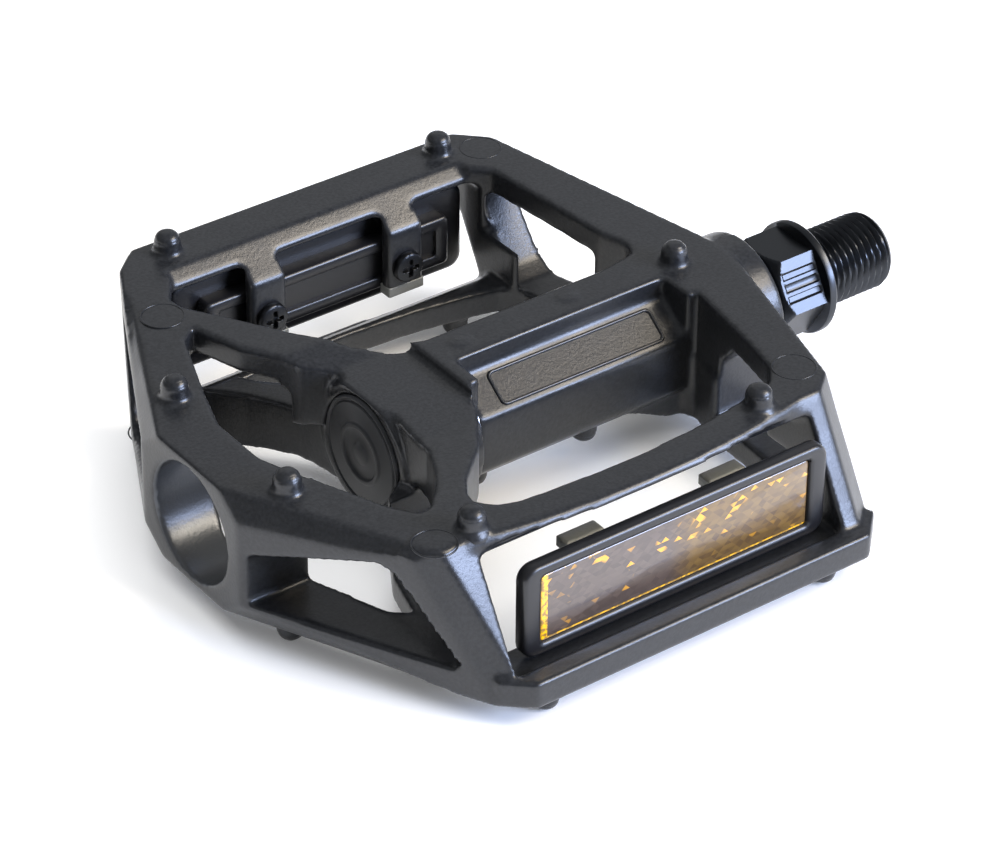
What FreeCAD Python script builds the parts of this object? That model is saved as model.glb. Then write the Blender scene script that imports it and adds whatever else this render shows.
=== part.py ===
"""Flat pedal with a one-piece cast cage, loose-ball bearings and two screwed reflectors.

Frame: millimetres. The origin is on the spindle axis in the plane of the crank shoulder.
+X runs out along the thread into the crank arm, +Z is up through the standing platform,
and -Y is the front reflector. The cage is the same after half a turn about X.
"""
import FreeCAD
import Part
import math
import os
import Sketcher

SIZES = [
    # platform
    ("deck_half", 11.5, "half height of the cage at its rails"),
    ("nose_half", 10.8, "half height of the cage at its outer end"),
    ("nose_x", 114.5, "crank shoulder to outer end face"),
    ("nose_half_width", 12.5, "half width of the flat outer end face"),
    ("wide_y", 52.4, "axis to the outer edge of the wide rail"),
    ("rail_step", 13.1, "narrow rail's ends in from the wide rail's edge"),
    ("bow", 4.0, "how far the narrow rail bows outward at its middle"),
    ("outer_corner_x", 91.0, "outer end of the wide rail"),
    ("inner_corner_x", 30.0, "crank end of the wide rail"),
    ("apex_x", 17.0, "crank end of the deck"),
    ("narrow_rail", 6.6, "width of the narrow rail"),
    ("wide_rail", 8.2, "width of the flat top of the wide rail"),
    ("rail_lip", 4.5, "height of the wide rail's outer lip"),
    ("shelf_gap", 0.5, "gap between the reflector housing and the rail under it"),
    ("web", 4.6, "height of the diagonal members at a corner"),
    ("ridge_half", 8.2, "half height of the barrel between its bosses"),
    ("barrel_half", 8.0, "half width of the barrel"),
    # bosses and bores
    ("boss_wall", 1.8, "wall of the outer bearing boss round the dust cap"),
    ("outer_boss_x", 84.2, "outer face of the outer bearing boss"),
    ("inner_boss_r", 11.4, "radius of the inner bearing boss"),
    ("inner_boss_x", 12.3, "crank face of the inner bearing boss"),
    ("tool_hole_r", 9.5, "radius of the tool hole in the outer end"),
    ("cap_step", 0.19, "step in radius from the cup bore up to the dust cap's bore"),
    ("cup_wall", 0.9, "wall of a cup round its balls"),
    ("bore_r", 6.2, "clearance bore between the bearings"),
    # studs
    ("stud_r", 2.15, "radius of a cast grip stud"),
    ("stud_high", 3.6, "height of a grip stud above the deck"),
    # reflector
    ("reflector_x", 61.6, "crank shoulder to the reflector's middle"),
    ("reflector_long", 55.0, "length of the reflector housing"),
    ("reflector_high", 15.6, "height of the reflector housing"),
    ("reflector_deep", 5.3, "depth of the reflector housing"),
    ("reflector_inset", 11.2, "wide rail's edge to the back of the reflector housing"),
    ("frame_deep", 2.5, "depth of the housing frame round the lens"),
    ("frame_end", 3.2, "frame width at the ends of the lens"),
    ("frame_edge", 2.05, "frame width above and below the lens"),
    ("block_inset", 1.4, "housing block behind the frame, in from the lens edge"),
    ("hole_deep", 1.5, "depth of a screw hole in the housing block"),
    ("lens_inset", 0.5, "lens face behind the housing rim"),
    ("lens_thick", 1.1, "lens plate with its prisms"),
    ("backing_thick", 0.4, "sealing plate behind the prisms"),
    ("lug_gap", 12.9, "reflector middle to the middle of a lug"),
    ("lug_wide", 6.6, "width of a lug"),
    ("lug_thick", 2.4, "thickness of a lug"),
    ("lug_drop", 5.0, "how far a lug reaches past the axis height"),
    ("screw_r", 1.45, "radius of the reflector screw"),
    ("screw_head_r", 2.6, "radius of the screw head"),
    ("screw_head", 1.5, "height of the screw head"),
    ("screw_reach", 1.2, "how far the screw enters past the back wall"),
    # spindle
    ("thread_r", 6.35, "half the 1/2 in major diameter"),
    ("thread_long", 14.1, "threaded length"),
    ("thread_chamfer", 0.6, "lead chamfer of the thread"),
    ("collar_r", 9.3, "radius of the wrench collar"),
    ("collar_long", 9.5, "length of the wrench collar"),
    ("collar_rim", 1.2, "round rim left at the shoulder"),
    ("across_flats", 15.0, "wrench size"),
    ("neck_r", 6.6, "radius of the neck under the seal"),
    ("shaft_r", 4.6, "radius of the shaft between the bearings"),
    ("tail_r", 3.9, "radius of the threaded tail"),
    ("tail_x", 81.0, "crank shoulder to the end of the tail"),
    # bearings
    ("ball_r", 1.5875, "1/8 in ball"),
    ("ball_room", 0.08, "half the least gap between neighbouring balls"),
    ("inner_race_x", 20.0, "crank shoulder to the inboard ball row"),
    ("outer_race_x", 71.5, "crank shoulder to the outboard ball row"),
    ("inner_row_r", 6.75, "radius of the inboard ball circle"),
    ("outer_row_r", 6.5, "radius of the outboard ball circle"),
    ("running", 0.02, "gap between a ball and a race"),
    ("turning_gap", 0.3, "gap between parts that turn past each other"),
    ("cup_long", 6.0, "length of a cup"),
    ("cup_floor", 1.2, "thickness of a cup behind its balls"),
    ("cone_long", 6.4, "length of the outboard cone"),
    ("washer_thick", 1.0, "keyed washer"),
    ("nut_thick", 3.0, "lock nut"),
    ("nut_flats", 10.8, "lock nut across flats"),
    ("cap_thick", 1.8, "dust cap"),
    ("cap_plug", 2.0, "plug of the dust cap"),
    ("seal_long", 1.8, "length of the seal"),
]


class Size:
    """A number that also carries the sheet expression it came from."""

    def __init__(self, value, text):
        self.value = float(value)
        self.text = text

    def mix(self, other, sign, value):
        return Size(value, "(" + self.text + " " + sign + " " + other.text + ")")

    def __add__(self, other):
        other = size(other)
        return self.mix(other, "+", self.value + other.value)

    def __radd__(self, other):
        return size(other) + self

    def __sub__(self, other):
        other = size(other)
        return self.mix(other, "-", self.value - other.value)

    def __rsub__(self, other):
        return size(other) - self

    def __mul__(self, other):
        other = size(other)
        return self.mix(other, "*", self.value * other.value)

    def __rmul__(self, other):
        return size(other) * self

    def __truediv__(self, other):
        other = size(other)
        return self.mix(other, "/", self.value / other.value)

    def __neg__(self):
        return size(0) - self


def size(number):
    """Turn a plain number into a Size."""
    if isinstance(number, Size):
        return number
    return Size(number, repr(float(number)))


doc = FreeCAD.newDocument("pedal")
sheet = doc.addObject("Spreadsheet::Sheet", "Sizes")
S = {}
for row, (alias, number, note) in enumerate(SIZES, start=1):
    sheet.set("A%d" % row, repr(float(number)))
    sheet.setAlias("A%d" % row, alias)
    sheet.set("B%d" % row, note)
doc.recompute()
for alias, number, note in SIZES:
    S[alias] = Size(sheet.get(alias), "Sizes." + alias)

# sizes that follow from others, so that a change carries through the fits
S["narrow_y"] = S["wide_y"] - S["rail_step"]
S["reflector_back"] = S["wide_y"] - S["reflector_inset"]
S["shelf"] = S["deck_half"] - S["reflector_high"] / 2.0 - S["shelf_gap"]
S["outer_cup_r"] = S["outer_row_r"] + S["ball_r"] + S["running"] + S["cup_wall"]
S["inner_cup_r"] = S["inner_row_r"] + S["ball_r"] + S["running"] + S["cup_wall"]
S["cap_bore_r"] = S["outer_cup_r"] + S["cap_step"]
S["outer_boss_r"] = S["cap_bore_r"] + S["boss_wall"]

ROLES = {"XY": "XY_Plane", "XZ": "XZ_Plane", "YZ": "YZ_Plane"}


def new_body(label):
    """One sub-part with its own label and placement."""
    body = doc.addObject("PartDesign::Body", label)
    body.Label = label
    return body


def new_sketch(body, name, plane, offset):
    """A sketch on one of the body's own planes, moved along the plane's normal."""
    sketch = body.newObject("Sketcher::SketchObject", name)
    for feature in body.Origin.OriginFeatures:
        if feature.Role == ROLES[plane]:
            sketch.AttachmentSupport = (feature, "")
    sketch.MapMode = "FlatFace"
    offset = size(offset)
    sketch.AttachmentOffset = FreeCAD.Placement(
        FreeCAD.Vector(0, 0, offset.value), FreeCAD.Rotation())
    sketch.setExpression("AttachmentOffset.Base.z", offset.text)
    return sketch


def pin(sketch, item, spot, x, y):
    """Fix one point of the sketch at two sheet expressions."""
    for kind, number in (("DistanceX", size(x)), ("DistanceY", size(y))):
        index = sketch.addConstraint(
            Sketcher.Constraint(kind, -1, 1, item, spot, number.value))
        sketch.setExpression("Constraints[%d]" % index, number.text)


def polygon(sketch, points):
    """A closed outline of straight edges."""
    first = sketch.GeometryCount
    total = len(points)
    spots = [FreeCAD.Vector(size(x).value, size(y).value, 0) for x, y in points]
    for k in range(total):
        sketch.addGeometry(Part.LineSegment(spots[k], spots[(k + 1) % total]), False)
    for k in range(total):
        sketch.addConstraint(Sketcher.Constraint(
            "Coincident", first + k, 2, first + (k + 1) % total, 1))
    for k, (x, y) in enumerate(points):
        pin(sketch, first + k, 1, x, y)
    return sketch


def circle(sketch, x, y, radius):
    """A full circle with its centre and radius bound to the sheet."""
    radius = size(radius)
    centre = FreeCAD.Vector(size(x).value, size(y).value, 0)
    item = sketch.addGeometry(
        Part.Circle(centre, FreeCAD.Vector(0, 0, 1), radius.value), False)
    pin(sketch, item, 3, x, y)
    index = sketch.addConstraint(Sketcher.Constraint("Radius", item, radius.value))
    sketch.setExpression("Constraints[%d]" % index, radius.text)
    return sketch


def grow(body, name, sketch, length, back=False):
    """Pad along the sketch normal, or against it."""
    feature = body.newObject("PartDesign::Pad", name)
    feature.Profile = sketch
    feature.Reversed = back
    feature.Length = size(length).value
    feature.setExpression("Length", size(length).text)
    sketch.Visibility = False
    body.Tip = feature
    return feature


def carve(body, name, sketch, length, ahead=False):
    """Pocket against the sketch normal, or along it."""
    feature = body.newObject("PartDesign::Pocket", name)
    feature.Profile = sketch
    feature.Reversed = ahead
    feature.Length = size(length).value
    feature.setExpression("Length", size(length).text)
    sketch.Visibility = False
    body.Tip = feature
    return feature


def turn(body, name, sketch, cut=False):
    """Revolve a half section round the sketch's own horizontal axis."""
    kind = "PartDesign::Groove" if cut else "PartDesign::Revolution"
    feature = body.newObject(kind, name)
    feature.Profile = sketch
    feature.ReferenceAxis = (sketch, ["H_Axis"])
    feature.Angle = 360.0
    body.Tip = feature
    return feature


def lathe(label, points):
    """A body turned about X from a half section given as (x, radius)."""
    body = new_body(label)
    section = polygon(new_sketch(body, label + "_section", "XY", 0), points)
    turn(body, label + "_turned", section)
    return body


def half_turn(points, side):
    """Mirror plan points for the underside, which is the top turned half round X."""
    return [(x, size(y) * side) for x, y in points]


def deck_outline(side):
    """Plan outline of the deck: wide rail on +Y for side 1."""
    wide = S["wide_y"]
    slim = S["narrow_y"]
    nose = S["nose_half_width"]
    outer = S["outer_corner_x"]
    inner = S["inner_corner_x"]
    return half_turn([
        (-S["nose_x"], nose),
        (-outer - 4.5, wide - 3.9),
        (-outer, wide),
        (-inner, wide),
        (-inner + 4.7, wide - 4.6),
        (-S["apex_x"], 5.0),
        (-S["apex_x"], -5.0),
        (-inner + 4.0, -slim + 3.4),
        (-inner, -slim),
        (-outer - 7.5, -slim),
        (-outer - 11.2, -slim + 3.3),
        (-S["nose_x"], -nose),
    ], side)


def cage_blank(body):
    """Ruled block between the top outline and the bottom outline."""
    low = new_sketch(body, "outline_low", "XY", -S["deck_half"])
    # the lower outline lists its corners in the order of the upper one
    points = deck_outline(-1)
    order = [11, 10, 9, 8, 7, 6, 5, 4, 3, 2, 1, 0]
    polygon(low, [points[k] for k in order])
    high = polygon(new_sketch(body, "outline_high", "XY", S["deck_half"]), deck_outline(1))
    loft = body.newObject("PartDesign::AdditiveLoft", "blank")
    loft.Profile = low
    loft.Sections = [high]
    loft.Ruled = True
    body.Tip = loft


def bow_outline(inset):
    """Plan outline of the narrow rail's bow, its front edge set in by inset."""
    slim = -S["narrow_y"]
    outer = -S["outer_corner_x"] - 7.5
    inner = -S["inner_corner_x"]
    span = outer - inner
    steps = 8
    points = []
    for k in range(steps + 1):
        part = k / float(steps)
        points.append((inner + span * part,
                       slim - S["bow"] * (4.0 * part * (1.0 - part)) + inset))
    points.append((outer, slim + 3.0))
    points.append((inner, slim + 3.0))
    return points


def narrow_bow(body, side):
    """Outward bow of the narrow rail with a sloped front edge, top rail for side 1."""
    deck = S["deck_half"]
    name = "bow_up" if side > 0 else "bow_down"
    high = polygon(new_sketch(body, name, "XY", deck * side),
                   half_turn(bow_outline(size(0.85)), side))
    low = polygon(new_sketch(body, name + "_foot", "XY", (deck - 1.4) * side),
                  half_turn(bow_outline(size(0)), side))
    loft = body.newObject("PartDesign::AdditiveLoft", name + "_pad")
    loft.Profile = high
    loft.Sections = [low]
    loft.Ruled = True
    body.Tip = loft


def rail_edge(body, side):
    """Upright outer edge of the wide rail, as high as its lip."""
    wide = S["wide_y"]
    outer = S["outer_corner_x"]
    inner = S["inner_corner_x"]
    name = "rail_edge_up" if side > 0 else "rail_edge_down"
    points = [
        (-outer - 4.5, wide - 3.9),
        (-outer, wide),
        (-inner, wide),
        (-inner + 4.7, wide - 4.6),
        (-inner + 1.0, wide - 9.0),
        (-outer - 1.0, wide - 9.0),
    ]
    sketch = polygon(new_sketch(body, name, "XY", S["deck_half"] * side), half_turn(points, side))
    grow(body, name + "_pad", sketch, S["rail_lip"], back=side > 0)


def windows(body, side):
    """The three plan windows of one half of the cage."""
    deck = S["deck_half"]
    nose = S["nose_x"]
    wide = S["wide_y"]
    slim = S["narrow_y"]
    inner = S["inner_corner_x"]
    half = S["barrel_half"]
    boss = S["outer_boss_x"]
    far_edge = wide - S["wide_rail"] - 2.3
    near_edge = -slim - S["bow"] + S["narrow_rail"]
    outer = [
        (-nose + 8.9, size(5.0)),
        (-nose + 12.0, size(14.2)),
        (-nose + 16.6, size(26.0)),
        (-nose + 19.3, size(28.3)),
        (-boss - 8.4, size(19.5)),
        (-boss - 3.3, size(11.2)),
        (-boss + 1.0, size(8.0)),
        (-boss + 1.0, size(-8.0)),
        (-boss + 0.3, size(-13.0)),
        (-boss - 0.1, size(-16.4)),
        (-boss - 1.4, size(-19.5)),
        (-boss - 4.3, size(-24.5)),
        (-boss - 8.8, size(-29.6)),
        (-nose + 19.3, size(-30.2)),
        (-nose + 16.6, size(-26.0)),
        (-nose + 12.0, size(-14.2)),
        (-nose + 8.9, size(-5.0)),
    ]
    far = [
        (-69.0, 5.4),
        (-36.0, 5.4),
        (-inner + 1.0, 6.6),
        (-inner + 2.0, 9.0),
        (-inner + 0.6, 14.0),
        (-inner - 0.3, 25.7),
        (-inner - 1.6, far_edge - 3.0),
        (-inner - 4.6, far_edge),
        (-S["outer_corner_x"] + 0.8, far_edge),
        (-S["outer_corner_x"] - 2.6, 37.0),
        (-S["outer_corner_x"] - 2.2, 34.0),
        (-89.0, 27.5),
        (-84.0, 19.0),
        (-78.7, 11.8),
        (-73.5, 7.4),
    ]
    near = [
        (-70.5, -half),
        (-27.8, -half),
        (-28.9, -14.8),
        (-30.4, -23.4),
        (-32.0, -30.2),
        (-34.6, -33.3),
        (-40.0, near_edge + 2.2),
        (-49.4, near_edge + 0.8),
        (-61.6, near_edge),
        (-73.0, near_edge + 0.3),
        (-82.0, near_edge + 0.9),
        (-85.2, near_edge + 2.0),
        (-87.4, near_edge + 4.5),
        (-86.9, -30.0),
        (-84.5, -26.6),
        (-78.0, -20.6),
        (-72.0, -12.2),
    ]
    for tag, points in (("outer", outer), ("far", far), ("near", near)):
        name = "window_" + tag + ("_up" if side > 0 else "_down")
        sketch = new_sketch(body, name, "XY", (deck + 1.0) * side)
        polygon(sketch, half_turn(points, side))
        carve(body, name + "_cut", sketch, deck + 1.0, ahead=side < 0)


def side_windows(body, side):
    """Reflector opening and the two openings in the diagonals of the narrow side."""
    deck = S["deck_half"]
    lip = deck - S["rail_lip"]
    floor = deck - S["shelf"]
    slim = S["narrow_y"]
    tag = "_front" if side > 0 else "_rear"

    # reflector opening: it undercuts the narrow rail and leaves a lip on the wide one
    sketch = new_sketch(body, "opening" + tag, "YZ", -33.0)
    points = [
        (-S["wide_y"] - 8.0, deck - 1.3),
        (-slim - S["bow"] + 0.9, deck - 1.3),
        (-slim - S["bow"] + 6.0, deck - 4.6),
        (-30.0, deck - 4.6),
        (-30.0, -floor),
        (-S["wide_y"] + 3.4, -floor),
        (-S["wide_y"] + 3.4, -lip),
        (-S["wide_y"] - 8.0, -lip),
    ]
    polygon(sketch, [(y * side, z * side) for y, z in points])
    carve(body, "opening_cut" + tag, sketch, S["outer_corner_x"] + 1.6 - 33.0)

    # outer diagonal
    sketch = new_sketch(body, "outer_gap" + tag, "YZ", -S["nose_x"] - 1.0)
    points = [
        (-13.5, -deck + S["web"] + 0.2),
        (-13.5, 1.9),
        (-18.4, 3.4),
        (-23.6, 5.0),
        (-31.8, 7.4),
        (-34.3, 6.6),
        (-43.4, -deck + S["web"] + 0.9),
        (-42.6, -deck + S["web"]),
    ]
    polygon(sketch, [(size(y) * side, size(z) * side) for y, z in points])
    carve(body, "outer_gap_cut" + tag, sketch, 22.0, ahead=True)

    # crank diagonal
    sketch = new_sketch(body, "inner_gap" + tag, "YZ", -S["apex_x"] + 1.0)
    points = [
        (-15.5, -deck + S["web"]),
        (-15.5, 3.0),
        (-19.0, deck - S["web"]),
        (-32.0, deck - S["web"]),
        (-34.8, deck - S["web"] - 2.0),
        (-42.6, -deck + S["web"] + 1.5),
        (-41.6, -deck + S["web"]),
    ]
    polygon(sketch, [(size(y) * side, size(z) * side) for y, z in points])
    carve(body, "inner_gap_cut" + tag, sketch, S["inner_corner_x"] - S["apex_x"] + 3.0)


def arm_gap(body, side):
    """Gap between the upper arm and the lower arm of one side."""
    deck = S["deck_half"]
    tag = "_front" if side > 0 else "_rear"
    sketch = new_sketch(body, "arm_gap" + tag, "YZ", -S["outer_boss_x"] + 14.0)
    points = [(-12.6, 0.4), (-13.6, 1.2), (-36.0, 1.2), (-40.0, -deck + S["web"]),
              (-14.6, -deck + S["web"]), (-12.6, -4.4)]
    polygon(sketch, [(size(y) * side, size(z) * side) for y, z in points])
    carve(body, "arm_gap_cut" + tag, sketch, 28.0)


def saddle(body, side):
    """Low saddle where the arms leave the outer bearing boss."""
    deck = S["deck_half"]
    low = S["cap_bore_r"] + 0.7
    tag = "_up" if side > 0 else "_down"
    sketch = new_sketch(body, "saddle" + tag, "YZ", -S["outer_boss_x"] + 13.0)
    points = [(-30.0, deck + 1.0), (-30.0, deck), (-14.0, low), (8.0, low), (14.0, deck),
              (14.0, deck + 1.0)]
    polygon(sketch, [(size(y) * side, size(z) * side) for y, z in points])
    carve(body, "saddle_cut" + tag, sketch, 22.0)


def rail_bevel(body, side):
    """Slope on the inner edge of the wide rail."""
    deck = S["deck_half"]
    crest = S["wide_y"] - S["wide_rail"]
    tag = "_up" if side > 0 else "_down"
    sketch = new_sketch(body, "bevel" + tag, "YZ", -S["inner_corner_x"] - 4.6)
    points = [(crest, deck + 1.0), (crest, deck), (crest - 3.0, deck - 2.73),
              (crest - 3.0, deck + 1.0)]
    polygon(sketch, [(y * side, z * side) for y, z in points])
    carve(body, "bevel_cut" + tag, sketch, S["outer_corner_x"] - S["inner_corner_x"] - 5.4)


def lugs(body, side):
    """Two lugs that hang from the wide rail and carry a reflector."""
    deck = S["deck_half"]
    crest = S["wide_y"] - S["wide_rail"]
    back = S["reflector_back"]
    face = back - S["lug_thick"]
    slope = 0.91
    tag = "_up" if side > 0 else "_down"
    # the root follows the rail's slope, so a lug stays on it however thin the shelf is
    root = crest - 0.4
    under = deck - (crest - back) * slope - 0.47
    points = [
        (root, deck - 0.4 * slope),
        (face, deck - (crest - face) * slope),
        (face, -S["lug_drop"]),
        (back, -S["lug_drop"]),
        (back, under),
        (root, under),
    ]
    for index, reach in enumerate((S["lug_gap"], -S["lug_gap"])):
        name = "lug%d%s" % (index + 1, tag)
        start = -S["reflector_x"] + reach - S["lug_wide"] / 2.0
        sketch = new_sketch(body, name, "YZ", start)
        polygon(sketch, [(y * side, z * side) for y, z in points])
        grow(body, name + "_pad", sketch, S["lug_wide"])


def barrel(body):
    """Bosses for the two bearings and the core between them."""
    core = new_sketch(body, "core", "YZ", -S["outer_boss_x"] + 4.0)
    wide = S["barrel_half"]
    high = S["ridge_half"]
    points = [(5.4, high), (-1.8, high), (-wide, 3.6), (-wide, -5.6), (-5.4, -high),
              (1.8, -high), (wide, -3.6), (wide, 5.6)]
    polygon(core, [(size(y), size(z)) for y, z in points])
    grow(body, "core_pad", core, S["outer_boss_x"] - S["inner_boss_x"] - 8.0)
    outer = circle(new_sketch(body, "outer_boss", "YZ", -S["outer_boss_x"]), 0, 0, S["outer_boss_r"])
    grow(body, "outer_boss_pad", outer, 14.5)
    inner = circle(new_sketch(body, "inner_boss", "YZ", -S["inner_boss_x"]), 0, 0, S["inner_boss_r"])
    grow(body, "inner_boss_pad", inner, 15.5, back=True)


def deck_dip(body, side):
    """Hollow of the deck over the barrel, and the slope towards the outer end."""
    deck = S["deck_half"]
    tag = "_up" if side > 0 else "_down"
    sketch = new_sketch(body, "dip" + tag, "XZ", -9.5)
    points = [(-75.0, deck + 1.0), (-68.0, S["ridge_half"]), (-39.0, S["ridge_half"]),
              (-28.5, deck + 1.0)]
    polygon(sketch, [(size(x), z * side) for x, z in points])
    carve(body, "dip_cut" + tag, sketch, 21.0, ahead=True)
    sketch = new_sketch(body, "nose_slope" + tag, "XZ", -S["wide_y"] - 5.0)
    points = [(-S["nose_x"] + 19.0, deck + 1.0), (-S["nose_x"] + 19.0, deck),
              (-S["nose_x"] - 1.0, S["nose_half"]), (-S["nose_x"] - 1.0, deck + 1.0)]
    polygon(sketch, [(x, z * side) for x, z in points])
    carve(body, "nose_slope_cut" + tag, sketch, S["wide_y"] * 2.0 + 10.0, ahead=True)


def label_facet(body, side):
    """Tilted facet along one edge of the barrel."""
    high = S["ridge_half"]
    tag = "_up" if side > 0 else "_down"
    sketch = new_sketch(body, "facet" + tag, "YZ", -29.5)
    points = [(size(-1.8), high), (-S["barrel_half"], size(3.6)),
              (-S["barrel_half"] - 5.0, size(3.6)), (-S["barrel_half"] - 5.0, high + 6.0),
              (size(-1.8), high + 6.0)]
    polygon(sketch, [(y * side, z * side) for y, z in points])
    carve(body, "facet_cut" + tag, sketch, 39.0)


def nose_facets(body):
    """Long wedges off the corners of the outer end."""
    deck = S["deck_half"]
    for ys in (1, -1):
        for zs in (1, -1):
            name = "nose_%s%s" % ("a" if ys > 0 else "b", "a" if zs > 0 else "b")
            wide = -S["nose_x"] - 0.5
            first = new_sketch(body, name + "_wide", "YZ", wide)
            big = [(size(5.2), deck + 0.4), (S["nose_half_width"] + 0.4, deck - 5.6),
                   (S["nose_half_width"] + 2.6, deck + 0.4)]
            polygon(first, [(y * ys, z * zs) for y, z in big])
            last = new_sketch(body, name + "_tip", "YZ", wide + 17.0)
            tip = [(size(40.3), deck + 0.4), (size(42.6), deck - 0.5), (size(44.0), deck + 0.4)]
            polygon(last, [(y * ys, z * zs) for y, z in tip])
            cut = body.newObject("PartDesign::SubtractiveLoft", name + "_cut")
            cut.Profile = first
            cut.Sections = [last]
            cut.Ruled = True
            body.Tip = cut


def cage_bores(body):
    """Tool hole, cap bore, cup bores, seal bore and screw holes."""
    sketch = circle(new_sketch(body, "tool_hole", "YZ", -S["nose_x"] - 1.0), 0, 0, S["tool_hole_r"])
    carve(body, "tool_hole_cut", sketch, 14.0, ahead=True)
    bore = new_sketch(body, "bores", "XY", 0)
    boss = -S["outer_boss_x"]
    cup = -S["outer_race_x"] + S["ball_r"] + S["running"] + S["cup_floor"]
    inner = -S["inner_boss_x"]
    inner_cup = -S["inner_race_x"] - S["ball_r"] - S["running"] - S["cup_floor"]
    points = [
        (boss - 1.0, size(0)),
        (boss - 1.0, S["cap_bore_r"]),
        (boss + S["cap_thick"] + S["cap_plug"], S["cap_bore_r"]),
        (boss + S["cap_thick"] + S["cap_plug"], S["outer_cup_r"]),
        (cup, S["outer_cup_r"]),
        (cup, S["bore_r"]),
        (inner_cup, S["bore_r"]),
        (inner_cup, S["inner_cup_r"]),
        (inner + 1.0, S["inner_cup_r"]),
        (inner + 1.0, size(0)),
    ]
    polygon(bore, points)
    turn(body, "bores_cut", bore, cut=True)
    for side, tag in ((1, "_rear"), (-1, "_front")):
        sketch = new_sketch(body, "screw_holes" + tag, "XZ", -S["reflector_back"] * side)
        for reach in (S["lug_gap"], -S["lug_gap"]):
            circle(sketch, -S["reflector_x"] + reach, 0, S["screw_r"] + 0.1)
        carve(body, "screw_holes_cut" + tag, sketch, S["lug_thick"] + 1.0, ahead=side > 0)


def stud_spots():
    """Plan positions of the nine studs of one deck with the height they stand on."""
    deck = S["deck_half"]
    rim = S["wide_y"] - 4.0
    slim = -S["narrow_y"] + 1.8
    return [
        (-S["inner_corner_x"] - 5.6, rim, deck),
        (-S["outer_corner_x"] + 4.3, rim, deck),
        (-S["nose_x"] + 7.4, size(14.6), S["nose_half"] + 0.3),
        (-S["nose_x"] + 7.4, size(-14.6), S["nose_half"] + 0.3),
        (size(-65.3), size(2.0), S["ridge_half"]),
        (size(-44.7), size(2.4), S["ridge_half"]),
        (size(-25.6), size(0.4), deck),
        (-S["inner_corner_x"] - 10.1, slim, deck),
        (-S["outer_corner_x"] - 0.7, slim, deck),
    ]


def studs(body, side):
    """Domed grip studs: a short drum with a smaller crown on it."""
    tag = "_up" if side > 0 else "_down"
    levels = {}
    for x, y, deck in stud_spots():
        levels.setdefault(round(deck.value, 3), []).append((x, y, deck))
    for k, group in enumerate(levels.values()):
        deck = group[0][2]
        name = "studs%d%s" % (k + 1, tag)
        foot = new_sketch(body, name, "XY", (deck - 1.5) * side)
        crown = new_sketch(body, name + "_top", "XY", (deck + S["stud_high"] * 0.7) * side)
        for x, y, level in group:
            circle(foot, x, y * side, S["stud_r"])
            circle(crown, x, y * side, S["stud_r"] * 0.7)
        grow(body, name + "_drum", foot, S["stud_high"] * 0.7 + 1.5, back=side < 0)
        grow(body, name + "_crown", crown, S["stud_high"] * 0.3, back=side < 0)


def cage_body():
    """The one-piece cast cage."""
    body = new_body("cage_body")
    cage_blank(body)
    for side in (1, -1):
        narrow_bow(body, side)
        rail_edge(body, side)
    for side in (1, -1):
        windows(body, side)
    for side in (1, -1):
        side_windows(body, side)
        arm_gap(body, side)
        rail_bevel(body, side)
    barrel(body)
    for side in (1, -1):
        deck_dip(body, side)
        saddle(body, side)
        label_facet(body, side)
        lugs(body, side)
    nose_facets(body)
    cage_bores(body)
    for side in (1, -1):
        studs(body, side)
    return body


def spindle():
    """Thread, wrench collar, neck, integral inboard race, shaft and tail in one forging."""
    thread = S["thread_r"]
    race = S["inner_race_x"]
    groove = S["inner_row_r"] - S["ball_r"] - S["running"]
    body = lathe("spindle", [
        (S["thread_long"], 0),
        (S["thread_long"], thread - S["thread_chamfer"]),
        (S["thread_long"] - S["thread_chamfer"], thread),
        (0, thread),
        (0, S["collar_r"] - 0.3),
        (-0.3, S["collar_r"]),
        (-S["collar_long"] + 1.0, S["collar_r"]),
        (-S["collar_long"], S["collar_r"] - 1.6),
        (-S["collar_long"], S["neck_r"]),
        (-race + S["ball_r"] + 0.41, S["neck_r"]),
        (-race + S["ball_r"] - 0.39, groove),
        (-race - 1.4, groove),
        (-race - 3.6, S["shaft_r"]),
        (-S["outer_race_x"] + 4.0, S["shaft_r"]),
        (-S["outer_race_x"] + 4.0, S["tail_r"]),
        (-S["tail_x"] + 0.5, S["tail_r"]),
        (-S["tail_x"], S["tail_r"] - 0.5),
        (-S["tail_x"], 0),
    ])
    # wrench flats, open towards the cage and closed by the rim at the shoulder
    root3 = math.sqrt(3.0)
    flat = S["across_flats"] / 2.0
    corner = S["across_flats"] / root3
    hexagon = [(corner, 0), (corner / 2.0, flat), (-corner / 2.0, flat), (-corner, 0),
               (-corner / 2.0, -flat), (corner / 2.0, -flat)]
    sketch = new_sketch(body, "wrench_flats", "YZ", -S["collar_rim"])
    polygon(sketch, hexagon)
    circle(sketch, 0, 0, S["collar_r"] + 2.0)
    carve(body, "wrench_flats_cut", sketch, S["collar_long"] - S["collar_rim"])
    return body


def ball_row(label, race_x, row_r):
    """A full row: as many balls as fit side by side round the spindle."""
    balls = []
    total = int(math.pi / math.asin((S["ball_r"].value + S["ball_room"].value) / row_r.value))
    for k in range(total):
        ball = doc.addObject("Part::Sphere", "%s_%d" % (label, k + 1))
        ball.setExpression("Radius", S["ball_r"].text)
        angle = 360.0 * k / total
        ball.setExpression("Placement.Base.x", (-race_x).text)
        ball.setExpression("Placement.Base.y", "%s * cos(%.6f)" % (row_r.text, angle))
        ball.setExpression("Placement.Base.z", "%s * sin(%.6f)" % (row_r.text, angle))
        balls.append(ball)
    row = doc.addObject("Part::Compound", label)
    row.Label = label
    row.Links = balls
    return row


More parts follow.
